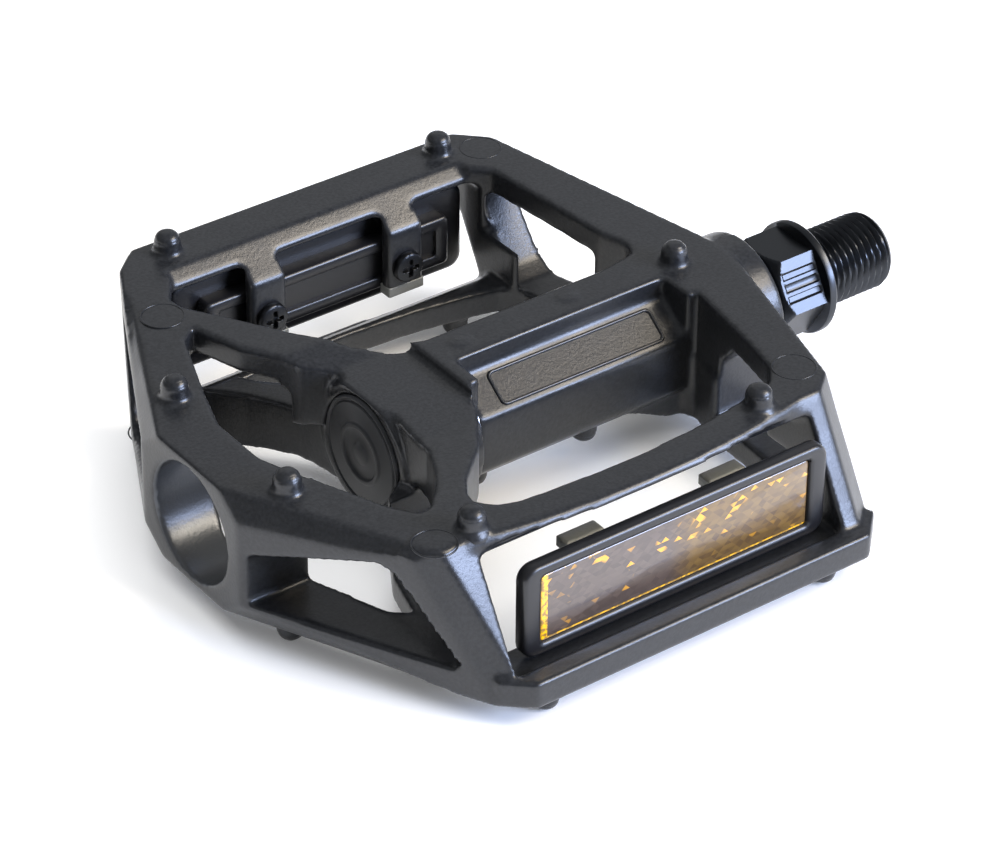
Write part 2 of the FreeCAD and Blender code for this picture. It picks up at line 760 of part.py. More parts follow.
def inboard_cup():
    """Pressed cup that the inboard balls run in."""
    race = -S["inner_race_x"]
    bore = S["inner_row_r"] + S["ball_r"] + S["running"]
    wall = race - S["ball_r"] - S["running"]
    base = wall - S["cup_floor"]
    return lathe("inboard_cup", [
        (base, S["bore_r"]),
        (base, S["inner_cup_r"]),
        (base + S["cup_long"], S["inner_cup_r"]),
        (base + S["cup_long"], S["neck_r"] + S["turning_gap"] + 0.6),
        (race + 2.0, bore),
        (wall, bore),
        (wall, S["bore_r"]),
    ])


def inboard_seal():
    """Lip seal in the mouth of the inner boss."""
    mouth = -S["inner_boss_x"]
    return lathe("inboard_seal", [
        (mouth + 0.3, S["neck_r"] + 0.05),
        (mouth + 0.3, S["inner_cup_r"] - 0.6),
        (mouth, S["inner_cup_r"]),
        (mouth - S["seal_long"], S["inner_cup_r"]),
        (mouth - S["seal_long"], S["neck_r"] + 1.2),
    ])


def outboard_cup():
    """Pressed cup that the outboard balls run in."""
    race = -S["outer_race_x"]
    bore = S["outer_row_r"] + S["ball_r"] + S["running"]
    wall = race + S["ball_r"] + S["running"]
    base = wall + S["cup_floor"]
    return lathe("outboard_cup", [
        (base, S["tail_r"] + 1.3),
        (base, S["outer_cup_r"]),
        (base - S["cup_long"], S["outer_cup_r"]),
        (base - S["cup_long"], bore),
        (wall, bore),
        (wall, S["tail_r"] + 1.3),
    ])


def outboard_cone():
    """Adjusting cone screwed on the tail."""
    race = -S["outer_race_x"]
    groove = S["outer_row_r"] - S["ball_r"] - S["running"]
    return lathe("outboard_cone", [
        (race + 1.2, S["tail_r"]),
        (race + 1.2, groove - 0.2),
        (race + 0.9, groove),
        (race - 1.2, groove),
        (race - 2.6, groove + 1.2),
        (race + 1.2 - S["cone_long"], groove + 1.2),
        (race + 1.2 - S["cone_long"], S["tail_r"]),
    ])


def keyed_washer():
    """Washer keyed to the tail between cone and nut."""
    face = -S["outer_race_x"] + 1.2 - S["cone_long"]
    return lathe("keyed_washer", [
        (face, S["tail_r"]),
        (face, S["tail_r"] + 1.9),
        (face - S["washer_thick"], S["tail_r"] + 1.9),
        (face - S["washer_thick"], S["tail_r"]),
    ])


def lock_nut():
    """Hexagon nut that locks the cone."""
    face = -S["outer_race_x"] + 1.2 - S["cone_long"] - S["washer_thick"]
    body = new_body("lock_nut")
    root3 = math.sqrt(3.0)
    flat = S["nut_flats"] / 2.0
    corner = S["nut_flats"] / root3
    sketch = new_sketch(body, "nut_section", "YZ", face)
    polygon(sketch, [(corner, 0), (corner / 2.0, flat), (-corner / 2.0, flat), (-corner, 0),
                     (-corner / 2.0, -flat), (corner / 2.0, -flat)])
    circle(sketch, 0, 0, S["tail_r"])
    grow(body, "nut_pad", sketch, S["nut_thick"], back=True)
    return body


def dust_cap():
    """Pressed-in cap with a stepped rim and a plain raised ring instead of a badge."""
    face = -S["outer_boss_x"]
    return lathe("dust_cap", [
        (face + S["cap_thick"] + S["cap_plug"], S["cap_bore_r"] - 1.4),
        (face + S["cap_thick"] + S["cap_plug"], S["cap_bore_r"]),
        (face, S["cap_bore_r"]),
        (face - 0.4, S["cap_bore_r"] - 0.4),
        (face - 0.4, 7.6),
        (face, 7.3),
        (face, 6.7),
        (face - 0.4, 6.4),
        (face - 0.4, 0),
        (face + 1.2, 0),
        (face + 1.2, S["cap_bore_r"] - 1.4),
    ])


def rounded(sketch, half_long, half_high, cut):
    """Rectangle with cut corners round the reflector's middle."""
    middle = -S["reflector_x"]
    polygon(sketch, [
        (middle - half_long + cut, -half_high), (middle + half_long - cut, -half_high),
        (middle + half_long, -half_high + cut), (middle + half_long, half_high - cut),
        (middle + half_long - cut, half_high), (middle - half_long + cut, half_high),
        (middle - half_long, half_high - cut), (middle - half_long, -half_high + cut)])
    return sketch


def reflector(tag, side):
    """Housing, backing plate and lens of one reflector; side is the sign of Y.

    XZ sketches face -Y, so their offset is minus Y.
    """
    half_long = S["reflector_long"] / 2.0
    half_high = S["reflector_high"] / 2.0
    lens_long = half_long - S["frame_end"]
    lens_high = half_high - S["frame_edge"]
    back = S["reflector_back"] * side
    front = (S["reflector_back"] + S["reflector_deep"]) * side
    seat = front - S["frame_deep"] * side
    lens_face = front - S["lens_inset"] * side
    under = lens_face - S["lens_thick"] * side
    pocket = S["lens_inset"] + S["lens_thick"] + S["backing_thick"]

    housing = new_body(tag + "_housing")
    sketch = rounded(new_sketch(housing, tag + "_frame", "XZ", -seat), half_long, half_high, 2.0)
    grow(housing, tag + "_frame_pad", sketch, S["frame_deep"], back=side > 0)
    block = rounded(new_sketch(housing, tag + "_block", "XZ", -back),
                    lens_long - S["block_inset"], lens_high - S["block_inset"], 0.6)
    grow(housing, tag + "_block_pad", block, S["reflector_deep"] - S["frame_deep"] + 0.2,
         back=side > 0)
    sketch = rounded(new_sketch(housing, tag + "_pocket", "XZ", -front), lens_long, lens_high, 0.6)
    carve(housing, tag + "_pocket_cut", sketch, pocket, ahead=side > 0)
    sketch = new_sketch(housing, tag + "_holes", "XZ", -back)
    for reach in (S["lug_gap"], -S["lug_gap"]):
        circle(sketch, -S["reflector_x"] + reach, 0, S["screw_r"])
    carve(housing, tag + "_holes_cut", sketch, S["hole_deep"], ahead=side < 0)

    lens = new_body(tag + "_lens")
    sketch = rounded(new_sketch(lens, tag + "_plate", "XZ", -lens_face), lens_long, lens_high, 0.6)
    grow(lens, tag + "_plate_pad", sketch, S["lens_thick"], back=side < 0)

    backing = new_body(tag + "_backing")
    sketch = rounded(new_sketch(backing, tag + "_seal", "XZ", -under), lens_long, lens_high, 0.6)
    grow(backing, tag + "_seal_pad", sketch, S["backing_thick"], back=side < 0)
    return [housing, lens, backing]


def screw(label, side, reach):
    """Pan-head screw through a lug into the housing floor."""
    body = new_body(label)
    middle = -S["reflector_x"] + reach
    seat = (S["reflector_back"] - S["lug_thick"]) * side
    tip = (S["reflector_back"] + S["screw_reach"]) * side
    head = new_sketch(body, label + "_head", "XZ", -seat)
    circle(head, middle, 0, S["screw_head_r"])
    grow(body, label + "_head_pad", head, S["screw_head"], back=side < 0)
    shank = new_sketch(body, label + "_shank", "XZ", -tip)
    circle(shank, middle, 0, S["screw_r"])
    grow(body, label + "_shank_pad", shank, S["lug_thick"] + S["screw_reach"], back=side < 0)
    slot = new_sketch(body, label + "_slot", "XZ", -(seat - S["screw_head"] * side))
    arm = S["screw_head_r"] * 0.6
    half = size(0.35)
    polygon(slot, [(middle + half, -arm), (middle + half, -half), (middle + arm, -half),
                   (middle + arm, half), (middle + half, half), (middle + half, arm),
                   (middle - half, arm), (middle - half, half), (middle - arm, half),
                   (middle - arm, -half), (middle - half, -half), (middle - half, -arm)])
    carve(body, label + "_slot_cut", slot, S["screw_head"] * 0.6, ahead=side > 0)
    return body


def report(shapes):
    """Stop on anything invalid and print what was made."""
    for item in doc.Objects:
        state = " ".join(item.State)
        if "Invalid" in state or "Error" in state:
            raise RuntimeError("%s is %s" % (item.Name, state))
    for item in shapes:
        shape = item.Shape
        if shape.isNull() or not shape.isValid():
            raise RuntimeError(item.Label + " has no valid shape")
        box = shape.BoundBox
        print("%-16s solids %2d volume %9.1f  x %.1f..%.1f y %.1f..%.1f z %.1f..%.1f" % (
            item.Label, len(shape.Solids), shape.Volume,
            box.XMin, box.XMax, box.YMin, box.YMax, box.ZMin, box.ZMax))


def main():
    nodes = [
        cage_body(),
        spindle(),
        inboard_seal(),
        inboard_cup(),
        ball_row("inboard_balls", S["inner_race_x"], S["inner_row_r"]),
        outboard_cup(),
        ball_row("outboard_balls", S["outer_race_x"], S["outer_row_r"]),
        outboard_cone(),
        keyed_washer(),
        lock_nut(),
        dust_cap(),
    ]
    for tag, side in (("front", -1), ("rear", 1)):
        nodes += reflector(tag, side)
        nodes.append(screw(tag + "_screw_outer", side, -S["lug_gap"]))
        nodes.append(screw(tag + "_screw_inner", side, S["lug_gap"]))
    doc.recompute()
    report(nodes)
    os.makedirs("parts", exist_ok=True)
    for node in nodes:
        node.Shape.exportStep("parts/" + node.Label + ".step")
    return nodes


main()
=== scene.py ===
# %% [markdown]
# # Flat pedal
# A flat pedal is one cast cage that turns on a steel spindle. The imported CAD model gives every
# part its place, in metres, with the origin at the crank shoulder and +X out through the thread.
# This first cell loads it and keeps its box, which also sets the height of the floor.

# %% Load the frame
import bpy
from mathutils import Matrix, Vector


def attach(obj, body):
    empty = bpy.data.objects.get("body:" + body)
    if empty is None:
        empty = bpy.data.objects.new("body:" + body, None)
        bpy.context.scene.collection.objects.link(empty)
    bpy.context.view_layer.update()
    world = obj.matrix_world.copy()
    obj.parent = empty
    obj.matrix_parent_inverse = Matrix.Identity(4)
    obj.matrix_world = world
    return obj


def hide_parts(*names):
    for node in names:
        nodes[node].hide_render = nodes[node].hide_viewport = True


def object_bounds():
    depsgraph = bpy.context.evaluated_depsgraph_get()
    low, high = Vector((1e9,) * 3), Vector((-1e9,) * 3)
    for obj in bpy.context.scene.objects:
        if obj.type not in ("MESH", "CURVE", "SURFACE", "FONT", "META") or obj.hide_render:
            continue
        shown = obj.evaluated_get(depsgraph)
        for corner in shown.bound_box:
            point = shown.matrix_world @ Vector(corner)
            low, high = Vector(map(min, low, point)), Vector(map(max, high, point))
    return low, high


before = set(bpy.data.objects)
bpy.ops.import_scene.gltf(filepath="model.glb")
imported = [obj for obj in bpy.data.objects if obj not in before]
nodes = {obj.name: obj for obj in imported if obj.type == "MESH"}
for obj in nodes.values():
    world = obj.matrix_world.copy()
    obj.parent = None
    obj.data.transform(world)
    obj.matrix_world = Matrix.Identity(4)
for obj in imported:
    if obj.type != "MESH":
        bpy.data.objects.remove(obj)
import math

import bmesh
import bpy
import numpy as np
from mathutils import Matrix, Vector

MM = 0.001
cad_box = [list(corner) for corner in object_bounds()]
print("loaded", len(nodes), "nodes, box in mm", np.round(np.array(cad_box) / MM, 1).tolist())

# %% [markdown]
# ## Helpers for surfaces
# Most of the new pieces are turned, extruded or pressed, so each is a grid of points: rows that
# run along the piece, and columns that run round it. One helper joins such a grid into quads and
# closes both ends with a fan, and the same helper turns the faces outwards by looking at the
# sign of the enclosed volume.


# %% Grids into meshes
def grid_faces(rows, columns, start=0):
    """Quads of a grid whose last column joins its first, counted from the point start."""
    i = np.arange(rows - 1)[:, None] * columns
    j = np.arange(columns)[None, :]
    k = (j + 1) % columns
    quads = np.stack([i + j, i + k, i + columns + k, i + columns + j], axis=-1)
    return quads.reshape(-1, 4) + start


def closed_grid(grid):
    """Points, quads and end fans of one closed shell.

    grid[i, j] is the point of row i and column j. Each end row is joined to its mean point.
    """
    rows, columns = grid.shape[:2]
    points = grid.reshape(-1, 3)
    ends = np.stack([grid[0].mean(axis=0), grid[-1].mean(axis=0)])
    points = np.concatenate([points, ends])
    j = np.arange(columns)
    k = (j + 1) % columns
    low = np.stack([np.full(columns, rows * columns), k, j], axis=1)
    top = (rows - 1) * columns
    high = np.stack([np.full(columns, rows * columns + 1), top + j, top + k], axis=1)
    quads = grid_faces(rows, columns)
    tris = np.concatenate([low, high])
    volume = signed_volume(points, quads) + signed_volume(points, tris)
    if volume < 0:
        quads = quads[:, ::-1]
        tris = tris[:, ::-1]
    return points, quads, tris


def closed_ring(grid):
    """Points and quads of a ring, whose last row also joins its first."""
    rows, columns = grid.shape[:2]
    points = grid.reshape(-1, 3)
    i = np.arange(rows)[:, None]
    j = np.arange(columns)[None, :]
    a, b = i * columns, (i + 1) % rows * columns
    k = (j + 1) % columns
    quads = np.stack([a + j, a + k, b + k, b + j], axis=-1).reshape(-1, 4)
    if signed_volume(points, quads) < 0:
        quads = quads[:, ::-1]
    return points, quads, np.zeros((0, 3), int)


def signed_volume(points, faces):
    """Sum over fan triangles of a.(b x c)/6, positive when the faces point outwards."""
    total = 0.0
    a = points[faces[:, 0]]
    for n in range(1, faces.shape[1] - 1):
        b = points[faces[:, n]]
        c = points[faces[:, n + 1]]
        total += np.einsum("ij,ij->i", a, np.cross(b, c)).sum() / 6.0
    return total


def build(name, shells, sharp=40.0):
    """One object out of closed shells in millimetres; edges over the sharp angle stay crisp."""
    points, faces, base = [], [], 0
    for shell, quads, tris in shells:
        points.append(shell)
        faces += (quads + base).tolist() + (tris + base).tolist()
        base += len(shell)
    mesh = bpy.data.meshes.new(name)
    mesh.from_pydata((np.concatenate(points) * MM).tolist(), [], faces)
    mesh.polygons.foreach_set("use_smooth", [True] * len(mesh.polygons))
    mesh.update()
    mesh.set_sharp_from_angle(angle=math.radians(sharp))
    piece = bpy.data.objects.new(name, mesh)
    bpy.context.scene.collection.objects.link(piece)
    print(name, len(mesh.vertices), "points", len(mesh.polygons), "faces")
    return piece


def finish_piece(piece, body, slot, material, *stands_for):
    """Ride on a body, take the material and stand for CAD nodes; the slot argument is not used.
    """
    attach(piece, body)
    piece.data.materials.append(material)
    if stands_for:
        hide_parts(*stands_for)
    return piece


def revolve(profile, columns):
    """Surface of revolution: a point (x, r) becomes (x, r cos t, r sin t) for each angle t."""
    t = np.arange(columns) * 2 * np.pi / columns
    x = np.broadcast_to(profile[:, :1], (len(profile), columns))
    return np.stack([x, profile[:, 1:] * np.cos(t), profile[:, 1:] * np.sin(t)], axis=-1)


def finely(corners, step):
    """A polyline with extra points, at most step apart, between its corners."""
    corners = np.array(corners, float)
    pieces = []
    for a, b in zip(corners[:-1], corners[1:]):
        count = max(1, int(np.ceil(np.abs(b - a).max() / step)))
        pieces.append(a + (b - a) * np.arange(count)[:, None] / count)
    return np.concatenate(pieces + [corners[-1:]])


def half_turn(grid):
    """Half a turn about the spindle axis: y and z change sign, and outsides stay outside."""
    return grid * np.array([1.0, -1.0, -1.0])


# %% [markdown]
# ## Helpers for materials
# Every material is a Principled BSDF with a few nodes in front of it. Colours are written the
# way a paint shop gives them, as sRGB hex, and one function turns them to linear light.


# %% Nodes and colours
def linear(code):
    """sRGB hex to linear: c/12.92 below 0.04045, else ((c+0.055)/1.055)^2.4."""
    c = np.array([int(code[n:n + 2], 16) for n in (1, 3, 5)]) / 255.0
    c = np.where(c <= 0.04045, c / 12.92, ((c + 0.055) / 1.055) ** 2.4)
    return (*c.tolist(), 1.0)


def add(tree, kind, inputs=None, **settings):
    """Add a node, set its own settings, then fill or link its inputs."""
    made = tree.nodes.new(kind)
    for key, value in settings.items():
        setattr(made, key, value)
    for key, value in (inputs or {}).items():
        if isinstance(value, bpy.types.NodeSocket):
            tree.links.new(value, made.inputs[key])
        else:
            made.inputs[key].default_value = value
    return made


def new_material(name, **values):
    """A material with its Principled BSDF filled in, and its node tree."""
    material = bpy.data.materials.new(name)
    material.use_nodes = True
    tree = material.node_tree
    shader = tree.nodes["Principled BSDF"]
    for key, value in values.items():
        shader.inputs[key.replace("_", " ")].default_value = value
    return material, tree, shader


def place(tree):
    """Object coordinates, in metres, the same for every piece because all sit at the origin."""
    return add(tree, "ShaderNodeTexCoord").outputs["Object"]


def grain(tree, shader, size_mm, height_mm, detail=2.0, strength=1.0):
    """Bump from noise with grains of size_mm across and height_mm high."""
    noise = add(tree, "ShaderNodeTexNoise",
                {"Vector": place(tree), "Scale": 1.0 / (size_mm * MM), "Detail": detail})
    bump = add(tree, "ShaderNodeBump",
               {"Height": noise.outputs["Fac"], "Distance": height_mm * MM,
                "Strength": strength})
    tree.links.new(bump.outputs["Normal"], shader.inputs["Normal"])
    return noise, bump


# %% [markdown]
# ## Black paint over die-cast aluminium
# The cage is aluminium pressed into a steel die and sprayed black. The paint is thin, so the
# grain of the die still shows as a fine sparkle, and it is semi-gloss, so edges catch a soft
# light. A mask by distance from the spindle axis paints a sheen on the wall of the tool hole in
# the outer end. There a lighter, part-metallic colour stands for the light that wall catches,
# and the wall has a roughness of its own.

# %% Cage paint
HOLE_R = 9.5
HOLE_INNER_X = -101.0
HOLE_MARGIN = 0.35
GRAIN_MM = 0.55
GRAIN_DEEP_MM = 0.05
PATCH_MM = 7.0
HOLE_ROUGHNESS = 0.30
HOLE_SHEEN_METALLIC = 0.55
paint, tree, shader = new_material("semi_gloss_black_paint_on_cast_aluminium",
                                   IOR=1.5, Coat_Weight=0.0)
where = place(tree)
parts = add(tree, "ShaderNodeSeparateXYZ", {"Vector": where})
across = add(tree, "ShaderNodeCombineXYZ", {"Y": parts.outputs["Y"], "Z": parts.outputs["Z"]})
radius = add(tree, "ShaderNodeVectorMath", {0: across.outputs[0]}, operation="LENGTH")
inside = add(tree, "ShaderNodeMath",
             {0: radius.outputs["Value"], 1: (HOLE_R + HOLE_MARGIN) * MM}, operation="LESS_THAN")
outer = add(tree, "ShaderNodeMath",
            {0: parts.outputs["X"], 1: HOLE_INNER_X * MM}, operation="LESS_THAN")
hole = add(tree, "ShaderNodeMath",
           {0: inside.outputs[0], 1: outer.outputs[0]}, operation="MULTIPLY")
fine = add(tree, "ShaderNodeTexNoise",
           {"Vector": where, "Scale": 1.0 / (GRAIN_MM * MM), "Detail": 3.0,
            "Roughness": 0.6})
broad = add(tree, "ShaderNodeTexNoise",
            {"Vector": where, "Scale": 1.0 / (PATCH_MM * MM), "Detail": 2.0})
rough = add(tree, "ShaderNodeMapRange",
            {"Value": broad.outputs["Fac"], "From Min": 0.3, "From Max": 0.7,
             "To Min": 0.28, "To Max": 0.36})
rough_here = add(tree, "ShaderNodeMix",
                 {0: hole.outputs[0], 2: rough.outputs["Result"], 3: HOLE_ROUGHNESS},
                 data_type="FLOAT")
tree.links.new(rough_here.outputs[0], shader.inputs["Roughness"])
speckle = add(tree, "ShaderNodeMapRange",
              {"Value": fine.outputs["Fac"], "From Min": 0.35, "From Max": 0.65})
black = add(tree, "ShaderNodeMix",
            {0: speckle.outputs[0], 6: linear("#161719"), 7: linear("#212224")},
            data_type="RGBA")
# Painted sheen: inside the tool hole the black paint turns to a lighter grey, and below it turns
# part metallic.
paint_with_hole_sheen = add(tree, "ShaderNodeMix",
           {0: hole.outputs[0], 6: black.outputs[2], 7: linear("#4a4c4f")}, data_type="RGBA")
tree.links.new(paint_with_hole_sheen.outputs[2], shader.inputs["Base Color"])
hole_sheen_metallic = add(tree, "ShaderNodeMath", {0: hole.outputs[0], 1: HOLE_SHEEN_METALLIC},
           operation="MULTIPLY")
tree.links.new(hole_sheen_metallic.outputs[0], shader.inputs["Metallic"])
bump = add(tree, "ShaderNodeBump",
           {"Height": fine.outputs["Fac"], "Distance": GRAIN_DEEP_MM * MM,
            "Strength": 0.6})
tree.links.new(bump.outputs["Normal"], shader.inputs["Normal"])
print("material", paint.name)

# %% [markdown]
# ## The cast cage
# A casting has no sharp edge anywhere: the metal rounds off in the die and the paint softens it
# again. The CAD cage has the right planes and windows, so a copy of it is welded, remeshed into
# small even squares and relaxed a little, which rounds every corner by about a millimetre.
# Flat places don't need so many faces, so the last modifier thins them.

# %% Cage
CELL_MM = 0.45
FACES_KEPT = 0.42
cage_mesh = nodes["cage_body"].data.copy()
cage_mesh.name = "cast_cage"
welded = bmesh.new()
welded.from_mesh(cage_mesh)
bmesh.ops.remove_doubles(welded, verts=welded.verts, dist=0.001 * MM)
welded.to_mesh(cage_mesh)
welded.free()
cage_mesh.materials.clear()
cage = bpy.data.objects.new("cast_cage", cage_mesh)
bpy.context.scene.collection.objects.link(cage)
cells = cage.modifiers.new("even_cells", "REMESH")
cells.mode = "VOXEL"
cells.voxel_size = CELL_MM * MM
cells.use_smooth_shade = True
soft = cage.modifiers.new("rounded_corners", "SMOOTH")
soft.factor = 0.5
soft.iterations = 8
fewer = cage.modifiers.new("fewer_faces", "DECIMATE")
fewer.ratio = FACES_KEPT
finish_piece(cage, "platform", "painted_cast", paint, "cage_body")
print("cage copied with", len(cage_mesh.polygons), "faces")

# %% [markdown]
# ## Grip studs
# Nine studs stand on each deck: short pegs cast with the cage, a little waisted, with a domed
# top. They are turned shapes, so one profile is revolved and copied to every place by adding
# the places to the grid. The underside is the top deck after half a turn about the spindle.

# %% Studs
stud_profile = np.array([
    [-0.8, 0.35], [-0.8, 2.9], [0.0, 2.75], [0.35, 2.35], [0.8, 2.15], [1.5, 2.02],
    [2.1, 2.0], [2.6, 1.92], [3.0, 1.72], [3.3, 1.4], [3.5, 0.98], [3.6, 0.5], [3.63, 0.12]])
stud_places = np.array([
    [-35.6, 48.4, 11.5], [-86.7, 48.4, 11.5], [-107.1, 14.6, 11.0], [-107.1, -14.6, 11.0],
    [-65.3, 2.0, 8.2], [-44.7, 2.4, 8.2], [-25.6, 0.4, 11.4], [-40.1, -37.5, 11.5],
    [-91.7, -37.5, 11.5]])
upright = revolve(stud_profile, 28)[:, :, [1, 2, 0]]
stud_shells = []
for spot in stud_places:
    stud = upright + spot
    stud_shells.append(closed_grid(stud))
    stud_shells.append(closed_grid(half_turn(stud)))
studs = build("grip_studs", stud_shells, sharp=60.0)
finish_piece(studs, "platform", "painted_cast", paint)

# %% [markdown]
# ## Marks of the die
# The long facet of the barrel carries a raised frame, left blank here, and the pins that push
# the casting out of the die leave faint circles at the corners of the decks. Both are thin
# beads: a small round section carried along a closed path.


# %% Frame on the barrel and pin circles
def bead(path, normal, outward, thick, columns=8):
    """A round section of that thickness carried along a closed path.

    Point (i, j) is path i plus thick times (outward cos t + normal sin t).
    """
    t = np.arange(columns) * 2 * np.pi / columns
    return (path[:, None, :]
            + thick * (outward[:, None, :] * np.cos(t)[None, :, None]
                       + normal[None, None, :] * np.sin(t)[None, :, None]))


def rounded_loop(half_long, half_high, corner, count=7):
    """Rectangle with round corners: corner centres plus corner times (cos t, sin t)."""
    loops = []
    for quarter, (sx, sy) in enumerate(((1, 1), (-1, 1), (-1, -1), (1, -1))):
        t = (quarter + np.linspace(0, 1, count)) * np.pi / 2
        centre = np.array([sx * (half_long - corner), sy * (half_high - corner)])
        loops.append(centre + corner * np.stack([np.cos(t), np.sin(t)], axis=1))
    return np.concatenate(loops)


FACET_RUN, FACET_RISE, FACET_LONG = 6.2, 4.6, 7.72
FACET_MIDDLE = np.array([-48.3, -4.9, 5.9])
FACET_UP = np.array([0.0, FACET_RUN, FACET_RISE]) / FACET_LONG
FACET_NORMAL = np.array([0.0, -FACET_RISE, FACET_RUN]) / FACET_LONG
PIN_R = 3.3
PIN_BEAD = 0.13
PIN_PLACES = ((-97.2, 33.5), (-29.2, 45.6), (-29.3, -32.6), (-98.0, -37.4))
ALONG = np.array([1.0, 0.0, 0.0])
loop = rounded_loop(15.2, 2.7, 0.9)
path = FACET_MIDDLE + loop[:, :1] * ALONG + loop[:, 1:] * FACET_UP
inner = rounded_loop(14.2, 1.7, 0.5)
aim = loop - inner
aim = aim / np.linalg.norm(aim, axis=1, keepdims=True)
aim = aim[:, :1] * ALONG + aim[:, 1:] * FACET_UP
frame_bead = bead(path, FACET_NORMAL, aim, 0.33)
marks = [closed_ring(frame_bead), closed_ring(half_turn(frame_bead))]
t = np.linspace(0, 2 * np.pi, 48, endpoint=False)
ring = np.stack([np.cos(t), np.sin(t), np.zeros(48)], axis=1)
for x, y in PIN_PLACES:
    pin_ring = bead(np.array([x, y, 11.44]) + ring * PIN_R, np.array([0, 0, 1.0]), ring,
                    PIN_BEAD)
    marks += [closed_ring(pin_ring), closed_ring(half_turn(pin_ring))]
die_marks = build("die_marks", marks, sharp=80.0)
finish_piece(die_marks, "platform", "painted_cast", paint)

# %% [markdown]
# ## Bare ends of the lugs
# The gates of the die meet the cage at the ends of the four lugs. They are broken off after
# casting, so each end is rough bare aluminium: a thin pad with an uneven top, laid on the lug.

# %% Gate marks
LUG_PLACES = {"outer": -74.5, "inner": -48.7}
LUG_MIDDLE_Y = -40.0
bare_metal, tree, shader = new_material("bare_broken_aluminium", Metallic=0.35, Roughness=0.55)
shader.inputs["Base Color"].default_value = linear("#7d7e7a")
grain(tree, shader, 0.5, 0.12, strength=0.9)


def lug_pad(middle_x):
    """Stack of rectangles (half x, half y, z) up over a lug end."""
    rows = [(3.34, 1.2, 3.4), (3.38, 1.3, 3.5), (3.38, 1.3, 4.95), (3.2, 1.15, 5.12),
            (2.6, 0.8, 5.18)]
    grid = []
    for half_x, half_y, z in rows:
        loop = rounded_loop(half_x, half_y, 0.25)
        grid.append(np.stack([middle_x + loop[:, 0], LUG_MIDDLE_Y + loop[:, 1],
                              np.full(len(loop), z)], axis=1))
    return np.array(grid)


pads = []
for middle_x in LUG_PLACES.values():
    pads.append(closed_grid(lug_pad(middle_x)))
    pads.append(closed_grid(half_turn(lug_pad(middle_x))))
gate_marks = build("gate_marks", pads, sharp=40.0)
finish_piece(gate_marks, "platform", "painted_cast", bare_metal)

# %% [markdown]
# ## Spindle
# The spindle is one forging, turned and then milled. A half-inch thread with 20 turns to the
# inch screws into the crank, a round rim stops it, and six flats take a 15 mm wrench. The whole
# piece is one grid, because each of these only changes the radius: the thread by a triangle
# wave that climbs one pitch per turn, and the flats by the distance to a hexagon's side.

# %% Spindle
THREAD_R = 6.35
PITCH = 1.27
THREAD_DEEP = 0.70
WRENCH = 15.0
THREAD_START, THREAD_END = 0.9, 13.6
FLATS_START, FLATS_END = -1.7, -9.55
SCORED_FLAT = math.radians(150.0)
SCORE_STEP, SCORE_HALF, SCORE_DEEP = 1.9, 0.62, 0.32
spindle_steel, tree, shader = new_material("dark_oxide_chromoly_steel", Metallic=1.0,
                                           Roughness=0.34)
shader.inputs["Base Color"].default_value = linear("#414346")
grain(tree, shader, 0.5, 0.012, strength=0.6)
outline = np.concatenate([
    finely([(14.1, 0.4), (14.1, 5.6), (13.6, 6.0)], 2.0)[:-1],
    finely([(THREAD_END, THREAD_R), (THREAD_START, THREAD_R)], 0.14),
    finely([(0.6, 5.65), (0.0, 5.65)], 1.0),
    np.array([(0.0, 8.7), (-0.15, 9.1), (-0.4, 9.3), (-1.2, 9.3), (-1.5, 9.15)]),
    finely([(-1.75, 9.3), (-7.4, 9.3), (-9.5, 7.2)], 0.22),
    np.array([(-9.6, 6.9), (-9.9, 7.0), (-12.1, 7.4), (-12.4, 6.6), (-18.0, 6.6),
              (-18.8, 5.16), (-21.4, 5.16), (-23.6, 4.6), (-67.5, 4.6), (-67.5, 3.9),
              (-80.5, 3.9), (-81.0, 3.4), (-81.0, 0.3)])])
COLUMNS = 192
turned = revolve(outline, COLUMNS)
x = outline[:, :1]
base = outline[:, 1:]
angle = np.arange(COLUMNS) * 2 * np.pi / COLUMNS
climb = (x / PITCH - angle / (2 * np.pi)) % 1.0
wave = np.clip(1.2 * np.abs(2 * climb - 1) - 0.08, 0, 1)
fade = np.clip((x - 0.6) / 1.0, 0, 1) * np.clip((13.9 - x) / 0.9, 0, 1)
threaded = (x < THREAD_END + 0.01) & (x > THREAD_START - 0.01)
radius_now = base - np.where(threaded, THREAD_DEEP * wave * np.clip(fade, 0.35, 1), 0)
lead = THREAD_R - (x - 13.0) * 0.55
radius_now = np.where(threaded & (x > 13.0), np.minimum(radius_now, lead), radius_now)
side = WRENCH / 2 / np.cos(angle % (np.pi / 3) - np.pi / 6)
milled = (x < FLATS_START) & (x > FLATS_END)
radius_now = np.where(milled, np.minimum(radius_now, side), radius_now)
across_flat = side * np.sin(angle - SCORED_FLAT)
on_flat = np.abs((angle - SCORED_FLAT + np.pi) % (2 * np.pi) - np.pi) < np.radians(29)
score = np.zeros(COLUMNS)
for offset in (-SCORE_STEP, 0.0, SCORE_STEP):
    beside = np.abs(across_flat - offset)
    score = np.maximum(score, np.clip((SCORE_HALF - beside) / 0.16, 0, 1))
ends = np.clip((-1.9 - x) / 0.25, 0, 1) * np.clip((x + 8.6) / 0.25, 0, 1)
radius_now = radius_now - SCORE_DEEP * np.where(on_flat, score, 0.0) * ends
turned = np.stack([np.broadcast_to(x, radius_now.shape), radius_now * np.cos(angle),
                   radius_now * np.sin(angle)], axis=-1)
spindle = build("turned_spindle", [closed_grid(turned)], sharp=28.0)
finish_piece(spindle, "spindle_group", "spindle_steel", spindle_steel, "spindle")

# %% [markdown]
# ## Dust cap
# A moulded cap presses into the outer end of the barrel and keeps the bearing clean. It is a
# turned shape with a shallow groove at its edge. A plain raised ring stands in the middle.

